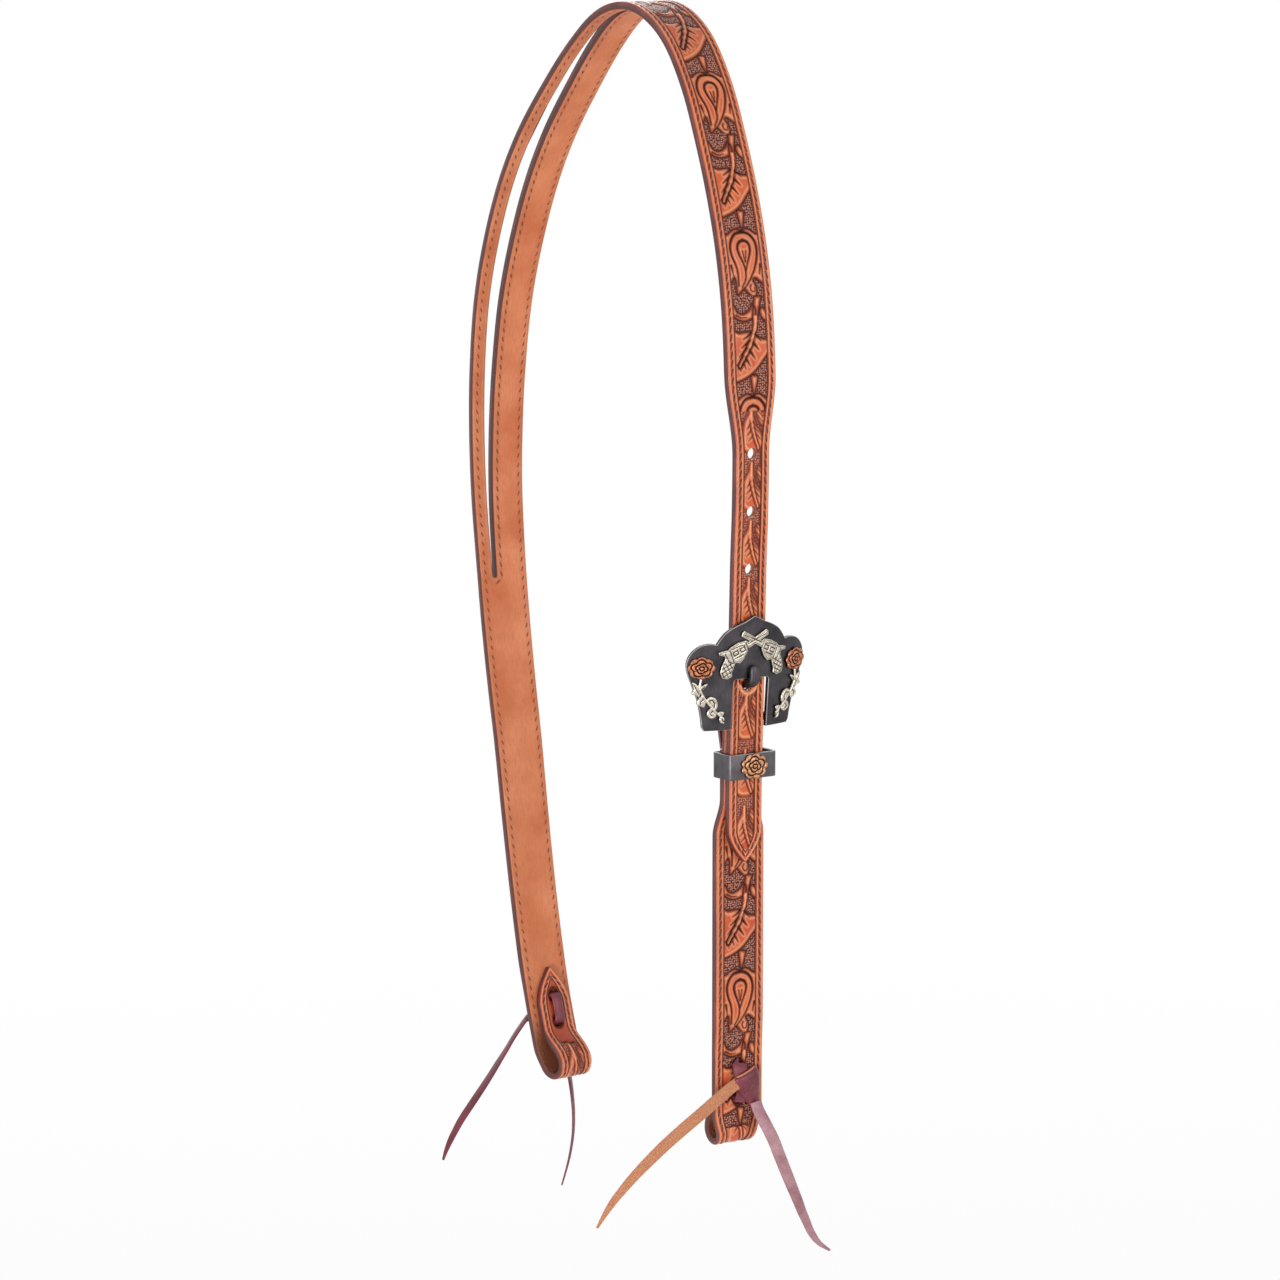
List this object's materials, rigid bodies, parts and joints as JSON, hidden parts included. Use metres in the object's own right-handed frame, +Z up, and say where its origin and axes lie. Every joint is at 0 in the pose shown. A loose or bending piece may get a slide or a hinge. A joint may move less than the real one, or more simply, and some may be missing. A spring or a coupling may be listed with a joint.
{
  "type": "western headstall",
  "caption": "Slit-ear western headstall: two-ply leather crown strap, contoured buckle with tongue and keeper, and folded bit ends closed by lace ties.",
  "frame": {"origin": "inner face of the crown, in the middle of the strap's width, where the strap rests on the horse's poll", "axes": "+Z up, +X towards the horse's near side (the buckle's side), +Y towards the horse's tail"},
  "size_m": [0.2137, 0.1271, 0.5543],
  "materials": {
    "crown_strap_face": "tooled and antiqued skirting leather, waxed",
    "crown_strap_lining": "plain russet lining leather",
    "cheek_strap_face": "tooled and antiqued skirting leather, waxed",
    "cheek_strap_lining": "plain russet lining leather",
    "buckle_plate": "dark gunmetal, satin",
    "buckle_bar": "dark gunmetal, satin",
    "buckle_tongue": "dark gunmetal, satin",
    "pistol_overlay": "silver plate with darkened engraving",
    "rose_left": "copper plate, antiqued",
    "rose_right": "copper plate, antiqued",
    "vine_left": "silver plate with darkened engraving",
    "vine_right": "silver plate with darkened engraving",
    "keeper_band": "dark gunmetal, satin",
    "keeper_rose": "golden copper plate, antiqued",
    "near_tie_loop": "burgundy latigo, oiled",
    "near_tie_knot": "burgundy latigo, oiled",
    "near_tie_front_tail": "burgundy latigo, oiled",
    "near_tie_rear_tail": "burgundy latigo, oiled",
    "off_tie_loop": "burgundy latigo, oiled",
    "off_tie_knot": "burgundy latigo, oiled",
    "off_tie_front_tail": "burgundy latigo, oiled",
    "off_tie_rear_tail": "burgundy latigo, oiled"
  },
  "bodies": {
    "straps": {"crown_strap_face": "crown_strap_face", "crown_strap_lining": "crown_strap_lining", "cheek_strap_face": "cheek_strap_face", "cheek_strap_lining": "cheek_strap_lining", "near_tie_loop": "near_tie_loop", "near_tie_knot": "near_tie_knot", "near_tie_front_tail": "near_tie_front_tail", "near_tie_rear_tail": "near_tie_rear_tail", "off_tie_loop": "off_tie_loop", "off_tie_knot": "off_tie_knot", "off_tie_front_tail": "off_tie_front_tail", "off_tie_rear_tail": "off_tie_rear_tail"},
    "buckle": {"buckle_plate": "buckle_plate", "buckle_bar": "buckle_bar", "pistol_overlay": "pistol_overlay", "rose_left": "rose_left", "rose_right": "rose_right", "vine_left": "vine_left", "vine_right": "vine_right"},
    "tongue": {"buckle_tongue": "buckle_tongue"},
    "keeper": {"keeper_band": "keeper_band", "keeper_rose": "keeper_rose"}
  },
  "joints": [
    {"name": "buckle_rock", "type": "hinge", "parent": "straps", "child": "buckle", "pos_m": [0.073, 0, -0.306], "axis": [0, 1, 0], "range_deg": [-0.7, 2.5]},
    {"name": "tongue_pivot", "type": "hinge", "parent": "buckle", "child": "tongue", "pos_m": [0.073, 0, -0.306], "axis": [0, 1, 0], "range_deg": [0, 3]},
    {"name": "keeper_slide", "type": "slide", "parent": "straps", "child": "keeper", "axis": [0, 0, 1], "range_m": [-0.008, 0.006]}
  ]
}
